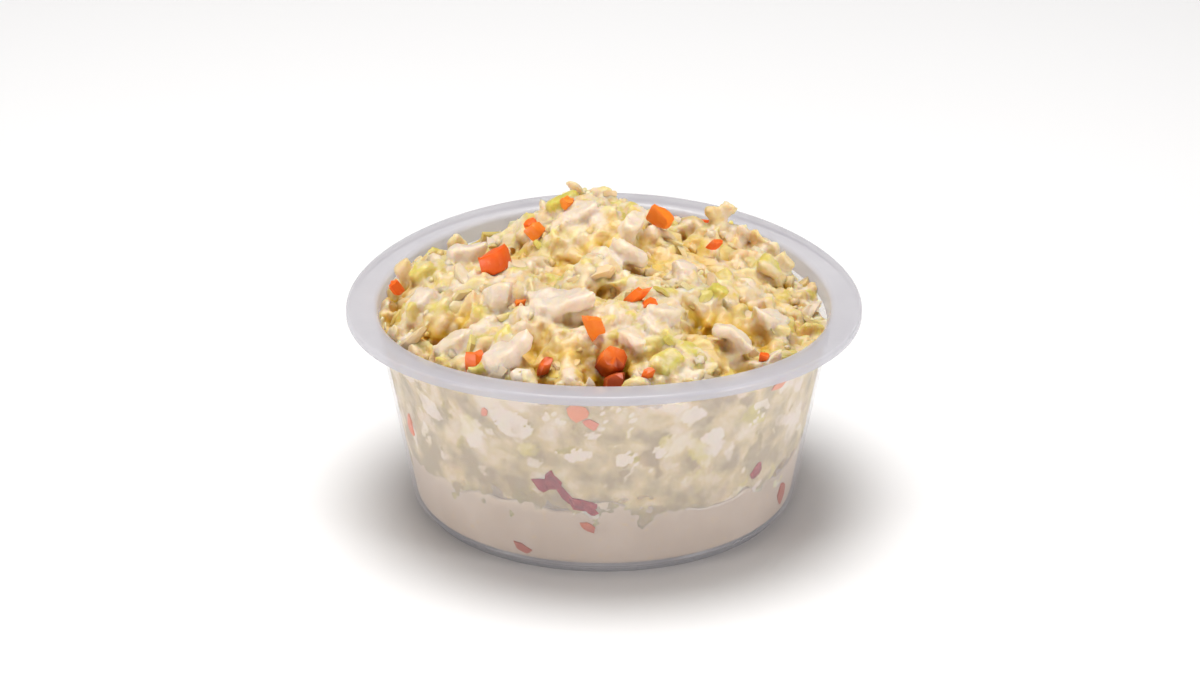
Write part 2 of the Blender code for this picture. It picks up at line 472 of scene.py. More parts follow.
def slawEdge(angle):
    dip = (0.5 + 0.5 * np.cos(angle - heap["dipAngle"])) ** 4
    return heap["edgeHeight"] - heap["edgeDip"] * (dip + 0.16 * np.sin(5 * angle + 1))


def heapHeight(x, y):
    # a flattened dome on the slaw's edge, with lumps along a sunflower spiral and the hollows above
    angle = np.arctan2(y, x)
    radius = np.hypot(x, y)
    edge = slawEdge(angle)
    share = np.clip(radius / innerRadius(edge), 0, 1)
    dome = heap["crown"] * (1 - share ** heap["crownPower"])
    height = edge * share + heap["edgeHeight"] * (1 - share) + dome
    index = np.arange(heap["lumps"])
    reach = innerRadius(rimHeight) * np.sqrt((index + 0.5) / heap["lumps"])
    lumpX = reach * np.cos(goldenAngle * index + 0.5)
    lumpY = reach * np.sin(goldenAngle * index + 0.5)
    lumpHeight = heap["lumpHeight"] * np.sin(2.4 * index + 0.7)
    lumpRadius = heap["lumpRadius"] * (1 + 0.3 * np.sin(1.7 * index))
    away = ((x[..., None] - lumpX) ** 2 + (y[..., None] - lumpY) ** 2) / lumpRadius ** 2
    height = height + np.sum(lumpHeight * np.exp(-away), -1) * (1 - share ** 12)
    for hollowX, hollowY, depth, width in hollows:
        away = ((x - hollowX * mm) ** 2 + (y - hollowY * mm) ** 2) / (width * mm) ** 2
        height = height - depth * mm * np.exp(-away)
    return height + bowLift(angle, height)


def hollowDepth(x, y):
    # how deep the narrow hollows lie under the rest of the heap
    total = 0 * x
    for hollowX, hollowY, depth, width in hollows:
        if depth > 0 and width < narrow:
            away = ((x - hollowX * mm) ** 2 + (y - hollowY * mm) ** 2) / (width * mm) ** 2
            total = total + depth * mm * np.exp(-away)
    return total


def heapNormals(x, y):
    step = 0.6 * mm
    rise = (heapHeight(x + step, y) - heapHeight(x - step, y)) / (2 * step)
    climb = (heapHeight(x, y + step) - heapHeight(x, y - step)) / (2 * step)
    normal = np.stack([-rise, -climb, np.ones_like(rise)], -1)
    return normal / np.linalg.norm(normal, axis=-1, keepdims=True)


def wallRadius(points):
    # the inner wall's radius beside each point, with the bow taken out of its height
    angle = np.arctan2(points[..., 1], points[..., 0])
    return innerRadius(points[..., 2] - bowLift(angle, points[..., 2]))


def creamyDressing():
    paint = Shader("creamyDressing")
    place = paint.objectPlace()
    cloud = paint.noise(place, 0.007, 4.0)
    fleck = paint.noise(place, 0.0012, 2.0)
    colour = paint.ramp(cloud, [(0.25, (0.53, 0.41, 0.30)), (0.55, (0.58, 0.46, 0.35)),
                                (0.8, (0.64, 0.53, 0.42))])
    colour = paint.mix(paint.ramp(fleck, [(0.60, (0, 0, 0)), (0.75, (1, 1, 1))]), colour, (0.62, 0.46, 0.28))
    rise = paint.math("ADD", paint.node("ShaderNodeSeparateXYZ", {"Vector": place}).outputs["Z"],
                      paint.spread(paint.noise(place, 0.0045, 3.0), -0.006, 0.006))
    share = paint.math("MULTIPLY", paint.math("SUBTRACT", rise, 0.0115), 1 / 0.005, clamp=True)
    colour = paint.mix(share, colour, (0.74, 0.60, 0.44))
    return paint.set(colour=colour, roughness=paint.spread(cloud, 0.22, 0.42), scatter=0.25,
                     scatterRadius=(1.0, 0.8, 0.55), scatterScale=0.002,
                     normal=paint.bump(cloud, 0.3, 0.0006))


def makeDressing():
    # rings from the top's middle out to the wall, down the wall's inside, round the corner and in to the
    # middle
    angle = np.arange(dressing["sides"]) * 2 * math.pi / dressing["sides"]
    into = dressing["intoWall"] * wallAcross
    floor = cup["footHeight"] + cup["wall"] * (1 - dressing["intoWall"])
    rounding = cup["corner"] - cup["wall"] / 2
    corner = cornerCentre(rounding, lambda height: innerRadius(height) + into, floor)
    share = np.linspace(0.03, 1, 36)[:, None]
    radius = share * (innerRadius(dressing["level"]) + into)
    x, y = radius * np.cos(angle), radius * np.sin(angle)
    height = dressingTop(x, y) + 0.25 * mm * smoothNoise(np.stack([x, y, 0 * x], -1), 2.2 * mm, 5)
    climbing = smoothNoise(np.stack([np.cos(angle), np.sin(angle), 0 * angle], -1) * 40 * mm, 7 * mm, 6)
    height = height + dressing["climb"] * climbing * share ** 8
    rim = height[-1]
    radius = share * (innerRadius(rim) + into)
    rings = [turned(radius, angle, height)]
    down = np.linspace(0, 1, 16)[1:, None]
    height = rim * (1 - down) + corner[1] * down
    radius = innerRadius(height) + into
    rings.append(turned(radius, angle, height))
    lower = arcPoints(corner, rounding, -cup["draft"], -math.pi / 2, 6)[1:]
    lower = np.concatenate([lower, straight((corner[0] * 0.9, floor), (corner[0] * 0.1, floor), 5)])
    radius, height = lower[:, :1], lower[:, 1:] + 0 * angle
    rings.append(turned(radius, angle, height))
    grid = np.concatenate(rings)
    top = (0, 0, float(dressingTop(np.zeros(1), np.zeros(1))[0]))
    piece = turnedPiece("dressingPool", grid, top, (0, 0, floor), creamyDressing())
    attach(piece, "root")
    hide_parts("dressing")


def slawCore():
    # what lies under the visible bits: the heap sunk by the core depth with a crumbled relief, and a side
    # that fills the cup just into the wall, a little less far than the bits pressed against it
    angle = np.arange(heap["coreSides"]) * 2 * math.pi / heap["coreSides"]
    share = np.linspace(0.012, 1, 84)[:, None]
    edge = innerRadius(heap["edgeHeight"] - 2 * mm) - 0.2 * mm
    x, y = share * edge * np.cos(angle), share * edge * np.sin(angle)
    flat = np.stack([x, y, 0 * x], -1)
    relief = 0.9 * smoothNoise(flat, 2.4 * mm, 11) + 0.5 * smoothNoise(flat, 1.1 * mm, 12)
    height = heapHeight(x, y) - heap["coreDepth"] + relief * mm * (1 - share ** 6)
    rings = [np.stack([x, y, height], -1)]
    down = np.linspace(0, 1, 44)[1:, None]
    bottom = heap["coreBottom"] + 0 * angle
    height = height[-1] * (1 - down) + bottom * down
    radius = innerRadius(height)
    below = np.clip((dressing["level"] - 0.5 * mm - height) / (2 * mm), 0, 1)
    radius = radius + 0.16 * wallAcross - below * mm
    rings.append(turned(radius, angle, height))
    inward = np.linspace(0.9, 0.1, 5)[:, None]
    last = rings[-1][-1]
    rings.append(np.stack([last[:, 0] * inward, last[:, 1] * inward, last[:, 2] + 0 * inward], -1))
    grid = np.concatenate(rings)
    top = (0, 0, float(heapHeight(np.zeros(1), np.zeros(1))[0]) - heap["coreDepth"])
    points = np.concatenate([grid.reshape(-1, 3), [top, (0, 0, heap["coreBottom"])]])
    tone = np.tile([0.55, 1.0, 0.25, 1.0], (len(points), 1))
    return points, closedGridFaces(*grid.shape[:2]), tone


makeDressing()
print("the dressing is made")


def turnedAxes(draw, normal, tilt):
    # three axes for each bit: its thickness leans from the surface's normal by a random tilt, its length
    # is random
    up = normal + draw.normal(0, 1, normal.shape) * tilt
    up /= np.linalg.norm(up, axis=1, keepdims=True)
    along = np.cross(up, draw.normal(0, 1, normal.shape))
    along /= np.linalg.norm(along, axis=1, keepdims=True)
    return np.stack([along, np.cross(up, along), up], 1)


def setAxes(normal, reference, turn, roll):
    # three axes for each bit: its length is the reference direction turned about the normal, then the bit
    # is rolled about its length
    across = np.cross(normal, reference)
    across /= np.linalg.norm(across, axis=1, keepdims=True)
    flat = np.cross(across, normal)
    turn, roll = np.radians(turn)[:, None], np.radians(roll)[:, None]
    along = flat * np.cos(turn) + across * np.sin(turn)
    beside = np.cross(normal, along)
    up = normal * np.cos(roll) + beside * np.sin(roll)
    return np.stack([along, np.cross(up, along), up], 1)


def heapPlaces(draw, count, sink, reach=1.0):
    # jittered sunflower spiral over the heap, sunk below its surface by a range in mm and more where a
    # slow noise opens a pit
    index = np.arange(count)
    mouth = innerRadius(rimHeight) - 1.6 * mm
    radius = reach * mouth * np.sqrt((index + 0.5) / count)
    angle = goldenAngle * index + draw.uniform(0, 6.28)
    step = 24 * mm / math.sqrt(count)
    x = radius * np.cos(angle) + draw.normal(0, step, count)
    y = radius * np.sin(angle) + draw.normal(0, step, count)
    outside = np.maximum(1, np.hypot(x, y) / mouth)
    x, y = x / outside, y / outside
    pits = smoothNoise(np.stack([x, y, 0 * x], -1), heap["pitSize"], 31)
    depth = draw.uniform(sink[0], sink[1], count) * mm + heap["pitDepth"] * np.clip(pits, -0.35, 1)
    normal = heapNormals(x, y)
    centre = np.stack([x, y, heapHeight(x, y)], -1) - normal * depth[:, None]
    return centre, normal


def wallPlaces(draw, count, low, high, sink):
    # just inside the cup's wall, between two heights given as shares from the dressing's top to the
    # heap's edge
    angle = goldenAngle * np.arange(count) + draw.uniform(0, 6.28)
    bottom = dressing["level"]
    height = bottom + (slawEdge(angle) - bottom) * draw.uniform(low, high, count)
    radius = innerRadius(height) - draw.uniform(sink[0], sink[1], count) * mm
    centre = turned(radius, angle, height)
    normal = np.stack([np.cos(angle), np.sin(angle), 0 * angle - slope], -1)
    return centre, normal / np.linalg.norm(normal, axis=-1, keepdims=True)


def joined(*groups):
    return tuple(np.concatenate(parts) for parts in zip(*groups))


def bitForms(draw, count, kind, given=None):
    # each bit is a plate with a polygon outline r(u) = least of d / cos(u - phi) over its cut edges;
    # rings of it at set shares and heights make the plate, which is then tapered, sheared and bent by
    # x^2, y^2 and x y
    sides = kind.get("sides", 10)
    rings = kind.get("rings", [(0.86, 1.0), (1.0, 0.66), (1.0, -0.66), (0.86, -1.0)])
    u = 2 * math.pi * (np.arange(sides) + draw.uniform(-0.22, 0.22, (count, sides))) / sides
    cuts = kind["cuts"]
    facing = 2 * math.pi * (np.arange(cuts) + draw.uniform(-0.3, 0.3, (count, cuts))) / cuts
    distance = draw.uniform(0.62, 1.0, (count, cuts))
    lean = np.maximum(np.cos(u[:, :, None] - facing[:, None, :]), 0.2)
    outline = np.minimum(np.min(distance[:, None, :] / lean, -1), 1.35)
    share = np.array([ring[0] for ring in rings])
    level = np.array([ring[1] for ring in rings])
    x = (outline * np.cos(u))[:, None, :] * share[None, :, None]
    y = (outline * np.sin(u))[:, None, :] * share[None, :, None]
    z = level[None, :, None] + draw.normal(0, kind.get("chatter", 0.1), (count, len(rings), sides))
    x, y, z = (part.reshape(count, -1) for part in (x, y, z))
    poles = np.zeros((count, 2))
    x, y = np.concatenate([x, poles], 1), np.concatenate([y, poles], 1)
    z = np.concatenate([z, poles + np.array([level[0], level[-1]]) * 1.04], 1)
    drawn = [draw.uniform(*kind[name], (count, 1)) for name in ("long", "wide", "thick")]
    halfLong, halfWide, halfThick = [size * mm / 2 for size in (drawn if given is None else given)]
    taper = draw.uniform(-0.45, 0.45, (count, 1))
    shear = draw.uniform(-0.5, 0.5, (count, 1)) * kind.get("shear", 1)
    narrowing = draw.uniform(-0.3, 0.3, (count, 1))
    z = z * halfThick * (1 + taper * x)
    y = y * halfWide * (1 + narrowing * x)
    x = x * halfLong + shear * z
    bend, curl, twist = draw.normal(0, kind["bend"], (3, count, 1)) / mm
    z = z + 0.5 * bend * x * x + 0.5 * curl * y * y + 0.5 * twist * x * y
    return np.stack([x, y, z], -1), sides, len(rings)


def bitFaces(count, sides, rings):
    # the same faces for every bit: quads between its rings and a fan at each pole
    shift = (np.arange(count) * (sides * rings + 2))[:, None, None]
    return [(part[None] + shift).reshape(-1, part.shape[1]) for part in closedGridFaces(rings, sides)]


def pressedInCup(points, intoWall):
    # bits that would stand out through the wall are pressed flat against it, a share of its thickness
    # inward from its inner face; near the mouth they keep clear of it
    radius = np.hypot(points[..., 0], points[..., 1])
    nearMouth = np.clip((points[..., 2] - rimHeight + 3 * mm) / (2.5 * mm), 0, 1)
    limit = (wallRadius(points) + intoWall * wallAcross) * (1 - nearMouth) + heap["mouthRadius"] * nearMouth
    squeeze = np.minimum(1, limit / np.maximum(radius, 1e-6))
    return points * np.stack([squeeze, squeeze, np.ones_like(squeeze)], -1)


def smearedOnWall(points):
    # below the mouth, what lies within about half a millimetre of the wall is spread flat against it, and
    # what lies up to 2 mm off follows it out
    radius = np.hypot(points[..., 0], points[..., 1])
    gap = wallRadius(points) + 0.3 * wallAcross - radius
    closed = gap - np.maximum(0, gap - 0.55 * mm)
    settled = dressing["level"] + 4.5 * mm * smoothNoise(points, 7 * mm, 17)
    closed = closed * np.clip((rimHeight - 3 * mm - points[..., 2]) / (2 * mm), 0, 1)
    closed = closed * np.clip((points[..., 2] - settled) / mm + 1, 0, 1) * (gap < 2 * mm)
    stretch = 1 + closed / np.maximum(radius, 1e-6)
    return points * np.stack([stretch, stretch, np.ones_like(stretch)], -1)


def buriedShare(points):
    # 0 at the heap's surface or the cup's wall, 1 some millimetres below it, and a pit counts as depth; the
    # finishes paint shade by this share
    x, y = points[..., 0], points[..., 1]
    below = heapHeight(x, y) + 0.95 * hollowDepth(x, y) + 0.6 * mm - points[..., 2]
    inside = wallRadius(points) + 0.3 * wallAcross - np.hypot(x, y)
    return np.clip(np.minimum(below, inside * 9) / (4.5 * mm), 0, 1)


def nearWall(points):
    # 1 at the cup's wall, 0 a little way in from it and over the heap's top
    inside = wallRadius(points) - np.hypot(points[..., 0], points[..., 1])
    return np.clip(1 - inside / (0.8 * mm), 0, 1) * np.clip((rimHeight - points[..., 2]) / (2 * mm), 0, 1)


def bits(draw, kind, places, axes=None, leaf=0.0, shade=(0, 1), sunk=0.0, intoWall=0.45, given=None):
    # points, faces, tones and own places of the bits of one kind at the given places
    centre, normal = places
    count = len(centre)
    forms, sides, rings = bitForms(draw, count, kind, given)
    if axes is None:
        axes = turnedAxes(draw, normal, kind["tilt"])
    points = pressedInCup(np.einsum("nvk,nkj->nvj", forms, axes) + centre[:, None, :], intoWall)
    tone = np.ones((count, forms.shape[1], 4))
    tone[..., 0] = draw.uniform(*shade, count)[:, None]
    # how deep the bit lies, with any extra painted shade given, sets its painted shade
    tone[..., 1] = np.clip(buriedShare(points) + sunk, 0, 1)
    tone[..., 2] = np.clip(leaf + draw.normal(0, 0.12, count), 0, 1)[:, None]
    tone[..., 3] = nearWall(points)
    place = forms + draw.uniform(-0.5, 0.5, (count, 1, 3))
    return points.reshape(-1, 3), bitFaces(count, sides, rings), tone.reshape(-1, 4), place.reshape(-1, 3)


def setOnHeap(draw, kind, spots, **more):
    # bits at listed spots on the heap: x, y, lift, length, width, thickness in mm, turn and roll in degrees
    x, y, lift, *size, turn, roll = np.array(spots, float).T
    x, y = x * mm, y * mm
    normal = heapNormals(x, y)
    centre = np.stack([x, y, heapHeight(x, y)], -1) + normal * lift[:, None] * mm
    axes = setAxes(normal, np.tile([1.0, 0, 0], (len(x), 1)), turn, roll)
    return bits(draw, kind, (centre, normal), axes, given=[part[:, None] for part in size], **more)


def setAtWall(draw, kind, spots, **more):
    # bits at listed spots behind the wall: angle in degrees, height, sink, length, width, thickness in
    # mm, turn, roll
    angle, height, sink, *size, turn, roll = np.array(spots, float).T
    angle = np.radians(angle)
    radius = innerRadius(height * mm) - sink * mm
    centre = turned(radius, angle, height * mm)
    normal = np.stack([np.cos(angle), np.sin(angle), 0 * angle - slope], -1)
    normal /= np.linalg.norm(normal, axis=1, keepdims=True)
    tangent = np.stack([-np.sin(angle), np.cos(angle), 0 * angle], -1)
    axes = setAxes(normal, tangent, turn, roll)
    return bits(draw, kind, (centre, normal), axes, given=[part[:, None] for part in size], **more)


def together(*groups):
    # several groups' points, faces, tones and places as one, each group's faces counted on from the
    # points before
    points, faces, tones, places, first = [], [], [], [], 0
    for group in groups:
        points.append(group[0])
        faces += [part + first for part in group[1]]
        tones.append(group[2])
        places.append(group[3] if len(group) > 3 else group[0])
        first += len(group[0])
    bySize = [np.concatenate([part for part in faces if part.shape[1] == size]) for size in (3, 4)]
    return np.concatenate(points), bySize, np.concatenate(tones), np.concatenate(places)


def slawPiece(name, group, material, sharpAngle=None):
    points, faces, tones, places = group
    piece = meshPiece(name, points, faces, material, sharpAngle, tones, places)
    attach(piece, "root")
    print(name, len(piece.data.polygons), "faces")
    return piece


def madeWith(piece, kind, **settings):
    # the piece's mesh as one modifier leaves it, read back as a mesh of its own
    modifier = piece.modifiers.new(kind, kind)
    for key, value in settings.items():
        setattr(modifier, key, value)
    graph = bpy.context.evaluated_depsgraph_get()
    mesh = bpy.data.meshes.new_from_object(piece.evaluated_get(graph), depsgraph=graph)
    piece.modifiers.clear()
    piece.data = mesh
    return mesh


def grownTogether(name, group, material):
    # bits and the core under them as one coated mass: a skin on a fine lattice, smoothed, which takes each
    # point's tone from the nearest face of the loose bits and is moved along its normals by three noises
    loose = meshPiece(name + "Loose", group[0], group[1], material, None, group[2])
    piece = bpy.data.objects.new(name, loose.data.copy())
    bpy.context.scene.collection.objects.link(piece)
    madeWith(piece, "REMESH", mode="VOXEL", voxel_size=heap["lattice"])
    mesh = madeWith(piece, "SMOOTH", factor=0.5, iterations=heap["smoothing"])
    mesh.attributes.new("tone", "FLOAT_COLOR", "POINT")
    mesh = madeWith(piece, "DATA_TRANSFER", object=loose, use_vert_data=True,
                    data_types_verts={"COLOR_VERTEX"}, vert_mapping="POLYINTERP_NEAREST",
                    layers_vcol_vert_select_src="ALL", layers_vcol_vert_select_dst="NAME")
    bpy.data.objects.remove(loose, do_unlink=True)
    points = np.empty(len(mesh.vertices) * 3, np.float32)
    mesh.vertices.foreach_get("co", points)
    normals = np.empty(len(points), np.float32)
    mesh.vertex_normals.foreach_get("vector", normals)
    points, normals = points.reshape(-1, 3), normals.reshape(-1, 3)
    crumbled = sum(rise * smoothNoise(points, size * mm, seed) for rise, size, seed in heap["crumbles"])
    points = smearedOnWall(pressedInCup(points + normals * crumbled[:, None] * mm, 0.3))
    mesh.vertices.foreach_set("co", points.astype(np.float32).ravel())
    values = np.empty(len(points) * 4, np.float32)
    tone = mesh.attributes["tone"]
    tone.data.foreach_get("color", values)
    values = values.reshape(-1, 4)
    # how deep each point lies sets its painted pit shade, and how near the wall it is sets the painted gap
    # shade behind it
    values[:, 1] = buriedShare(points)
    values[:, 3] = nearWall(points)
    tone.data.foreach_set("color", values.ravel())
    mesh.materials.clear()
    mesh.materials.append(material)
    mesh.shade_smooth()
    print(name, len(mesh.polygons), "faces, mean tone", values.mean(0).round(2))
    return piece


def cabbageFinish(name, scatter, scatterScale):
    # the tone attribute holds a bit's own shade of colour, how deep its surface lies, which sets painted
    # shade in the pits, how much leaf there is in it, and as alpha how near the cup's wall it is
    paint = Shader(name)
    tone = paint.attribute("tone")
    place = paint.objectPlace()
    patch = paint.noise(place, 0.0035, 3.0)
    grain = paint.noise(place, 0.0009, 3.0)
    own = paint.math("ADD", paint.channel(tone, 0), paint.spread(patch, -0.45, 0.45), clamp=True)
    heartColour = paint.ramp(own, [(0.0, (0.72, 0.61, 0.49)), (0.35, (0.71, 0.58, 0.42)),
                                   (0.7, (0.72, 0.55, 0.35)), (1.0, (0.72, 0.51, 0.26))])
    leafColour = paint.ramp(own, [(0.0, (0.74, 0.63, 0.36)), (0.5, (0.68, 0.57, 0.18)),
                                  (1.0, (0.57, 0.50, 0.09))])
    colour = paint.mix(paint.channel(tone, 2), heartColour, leafColour)
    # painted shade: the deeper a surface lies, down in pits and under the heap's top, the more it is painted
    # a darker golden-olive
    buried = paint.channel(tone, 1)
    sunk = paint.ramp(buried, [(0.26, (0, 0, 0)), (0.60, (0.6, 0.6, 0.6)), (0.90, (1, 1, 1))])
    pitShadeColour = paint.ramp(buried, [(0.55, (0.74, 0.48, 0.09)), (0.80, (0.66, 0.40, 0.03)),
                              (1.0, (0.46, 0.26, 0.01))])
    colour = paint.mix(sunk, colour, pitShadeColour)
    coated = paint.ramp(paint.noise(place, 0.0045, 3.0), [(0.52, (0, 0, 0)), (0.68, (0.7, 0.7, 0.7))])
    colour = paint.mix(coated, colour, (0.73, 0.60, 0.46))
    height = paint.node("ShaderNodeSeparateXYZ", {"Vector": place}).outputs["Z"]
    # on the wall, painted shade in the gaps between the bits, heavier low down and rarer with height, and
    # whitish smears of dressing that grow commoner with height, so the wall is also painted lighter towards
    # the top
    gapShadeAndSmears = paint.math("ADD", paint.noise(place, 0.0052, 3.0, 0.5), paint.spread(height, -0.14, 6.36))
    gapShadeAndSmears = paint.math("SUBTRACT", gapShadeAndSmears, paint.spread(paint.channel(tone, 0), -0.20, 0.20))
    # painted shade in the gaps between the bits behind the wall, where the tone's alpha marks the wall
    paintedGapShade = paint.ramp(gapShadeAndSmears, [(0.36, (0.85, 0.85, 0.85)), (0.56, (0, 0, 0))])
    paintedGapShade = paint.math("MULTIPLY", paintedGapShade, paint.attribute("tone", "Alpha"))
    colour = paint.mix(paintedGapShade, colour, (0.42, 0.33, 0.20))
    # whitish smears of dressing, which with height also paint the wall lighter towards the top
    whitened = paint.ramp(gapShadeAndSmears, [(0.54, (0, 0, 0)), (0.70, (0.8, 0.8, 0.8))])
    whitened = paint.math("MULTIPLY", whitened, paint.attribute("tone", "Alpha"))
    colour = paint.mix(whitened, colour, (0.84, 0.74, 0.63))
    wet = paint.noise(place, 0.004, 2.0)
    return paint.set(colour=colour, roughness=paint.spread(wet, 0.28, 0.55), scatter=scatter,
                     scatterRadius=(1.0, 0.6, 0.2), scatterScale=scatterScale,
                     normal=paint.bump(grain, 0.4, 0.0005))


# sizes in mm, cut edges, bend and tilt of each kind of bit
heartChips = {"long": (2.8, 6.5), "wide": (2.2, 4.4), "thick": (1.2, 2.4),
              "cuts": 4, "bend": 0.05, "tilt": 0.7}
leafFlakes = {"long": (4.0, 8.0), "wide": (3.0, 6.0), "thick": (0.8, 1.3),
              "cuts": 5, "bend": 0.12, "tilt": 0.6, "shear": 0}
stemSticks = {"long": (6.0, 10.5), "wide": (1.8, 3.0), "thick": (1.4, 2.4),
              "cuts": 4, "bend": 0.06, "tilt": 0.4}
gratedCrumbs = {"long": (1.3, 3.0), "wide": (1.0, 2.2), "thick": (0.8, 1.6),
                "cuts": 4, "bend": 0.1, "tilt": 1.2, "sides": 6, "rings": [(0.8, 1.0), (0.95, -0.7)]}

# bits of the mass: kind, count on the heap, their sink in mm, count at the wall, their sink in mm, leaf
massBits = [(heartChips, 760, (1.9, 3.5), 200, (0.3, 1.4), 0.1),
            (leafFlakes, 380, (1.5, 3.0), 90, (0.3, 1.3), 0.8),
            (stemSticks, 110, (2.3, 3.4), 40, (0.3, 1.3), 0.05),
            (gratedCrumbs, 2400, (0.7, 2.8), 240, (0.1, 0.8), 0.2)]
wallReach = (-0.16, 1.0)    # from a little below the dressing's level up to the heap's edge

# loose bits on the mass: name, kind, count, sink in mm, leaf, sharp angle in degrees
looseBits = [("cabbageHeart", heartChips, 44, (1.6, 2.4), 0.1, 40),
             ("cabbageLeaf", leafFlakes, 50, (1.3, 2.1), 0.8, 40),
             ("cabbageStem", stemSticks, 26, (1.3, 2.1), 0.0, 40),
             ("cabbageCrumbs", gratedCrumbs, 300, (0.9, 1.9), 0.2, None)]

# broad pale pieces that lie open on the heap: x, y, lift, length, width, thickness, turn, roll
openSlabs = [(-6.9, -18.6, 0.5, 13.0, 8.0, 2.4, -4, 8), (4.6, -27.5, 0.8, 11.0, 3.4, 2.4, -58, 0),
             (-16.6, -30.0, 0.2, 11.5, 7.5, 3.0, 10, 4), (-18.3, -12.8, 0.7, 7.0, 7.0, 3.0, -20, 10),
             (29.0, -12.0, 0.6, 7.5, 5.0, 2.2, 40, 0), (22.0, -22.6, 0.6, 7.5, 4.5, 2.4, -15, 10),
             (-5.0, 11.9, 0.2, 7.0, 5.5, 3.0, 10, 0), (4.8, 7.0, 0.8, 7.0, 4.5, 3.0, 80, 10),
             (3.7, -2.0, 0.6, 6.5, 5.0, 3.2, 0, 20), (-24.0, 9.5, 0.2, 7.0, 5.0, 2.4, 20, 0),
             (-31.0, -6.6, 0.4, 6.5, 4.0, 2.2, 60, 0), (-25.9, -21.8, 0.4, 7.0, 4.5, 2.2, -30, 0),
             (13.5, -4.0, 0.6, 6.0, 4.0, 2.4, 50, 0), (10.5, -21.0, 0.4, 6.0, 4.2, 2.4, 20, 0)]

# bits that stand up along the far edge of the heap, and one at its left
standing = [(19.6, 20.5, 0.8, 3.6, 3.0, 2.6, 20, 30), (21.6, 21.0, 1.4, 3.2, 2.8, 2.4, -20, 10),
            (24.4, 19.2, 0.2, 3.8, 2.8, 2.2, 60, 0), (27.2, 17.5, 0.8, 3.6, 3.0, 2.4, 30, 0),
            (-35.0, 7.0, 0.6, 3.6, 3.0, 2.4, 30, 0),
            (29.0, 16.0, 0.6, 3.6, 3.2, 2.4, 30, 0), (31.0, 13.0, 0.4, 3.6, 3.2, 2.4, -40, 0)]

# leaf that lies open on the heap
openLeaves = [(-31.7, 4.1, 0.5, 5.0, 3.5, 1.4, 20, 0), (10.5, -31.5, 0.3, 6.5, 4.0, 1.4, 30, 10),
              (14.3, -27.3, 0.3, 6.0, 4.0, 1.4, -30, 0), (29.0, 8.8, 0.4, 6.5, 4.5, 1.4, 10, 0),
              (-7.5, 18.0, 0.6, 6.5, 4.0, 1.6, 0, 0), (20.0, -10.0, 0.3, 5.5, 3.5, 1.3, 70, 0)]

# pale pieces and leaf behind the wall: angle, height, sink, length, width, thickness, turn, roll
wallSlabs = [(-114.2, 29.8, 0.3, 7.5, 6.5, 2.4, 10, 0), (-127.0, 25.6, 0.3, 5.5, 4.0, 2.2, 40, 0),
             (-102.1, 32.0, 0.3, 5.0, 4.0, 2.2, 0, 0), (-97.1, 25.0, 0.3, 5.5, 3.6, 2.0, 20, 0),
             (-86.6, 32.4, 0.3, 6.5, 3.6, 2.0, -10, 0), (-84.6, 24.0, 0.3, 4.5, 3.5, 2.0, 0, 0),
             (-75.5, 24.9, 0.2, 2.6, 2.2, 1.6, 0, 0), (-66.9, 31.6, 0.3, 5.0, 3.5, 2.0, 15, 0),
             (-142.5, 27.0, 0.3, 5.5, 4.0, 2.0, 0, 0), (-60.0, 26.0, 0.3, 5.0, 4.0, 2.0, -30, 0),
             (-45.0, 29.0, 0.3, 5.0, 4.0, 2.0, 20, 0), (-152.0, 32.0, 0.3, 6.0, 4.0, 2.0, 20, 0)]
wallLeaves = [(-110.6, 24.7, 0.4, 6.0, 3.0, 1.4, 10, 0), (-72.0, 26.0, 0.5, 8.0, 6.0, 1.5, 30, 0),
              (-64.0, 24.0, 0.5, 7.0, 5.0, 1.5, -40, 0), (-128.0, 27.0, 0.5, 6.0, 4.5, 1.5, 60, 0),
              (-47.0, 28.0, 0.5, 6.0, 5.0, 1.5, 0, 0)]


def makeSlaw():
    coated = cabbageFinish("coatedCabbage", 0.8, 0.0026)
    cabbage = cabbageFinish("choppedCabbage", 0.4, 0.0012)
    draw = np.random.default_rng(41)
    scattered = []
    for kind, onHeap, sink, atWall, wallSink, leaf in massBits:
        places = joined(heapPlaces(draw, onHeap, sink), wallPlaces(draw, atWall, *wallReach, wallSink))
        scattered.append(bits(draw, kind, places, leaf=leaf, intoWall=0.3))
    mass = together(
        slawCore(), *scattered,
        setOnHeap(draw, heartChips, standing, leaf=0.15),
        setOnHeap(draw, heartChips, openSlabs, shade=(-0.3, 0.1)),
        setOnHeap(draw, leafFlakes, openLeaves, leaf=1.1, shade=(0.5, 1.0)),
        setAtWall(draw, heartChips, wallSlabs, shade=(-0.6, -0.2), intoWall=0.32),
        setAtWall(draw, leafFlakes, wallLeaves, leaf=1.1, shade=(0.2, 0.6), intoWall=0.34))
    piece = grownTogether("slawMass", mass, coated)
    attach(piece, "root")
    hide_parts("slaw")

    draw = np.random.default_rng(42)
    for name, kind, count, sink, leaf, sharpAngle in looseBits:
        loose = bits(draw, kind, heapPlaces(draw, count, sink), leaf=leaf)
        slawPiece(name, loose, cabbage, sharpAngle)


carrotDice = {"long": (2.6, 4.6), "wide": (2.0, 3.6), "thick": (1.4, 2.8),
              "cuts": 5, "bend": 0.05, "tilt": 0.6, "chatter": 0.16,
              "rings": [(0.86, 1.0), (1.0, 0.72), (1.0, -0.72), (0.86, -1.0)]}

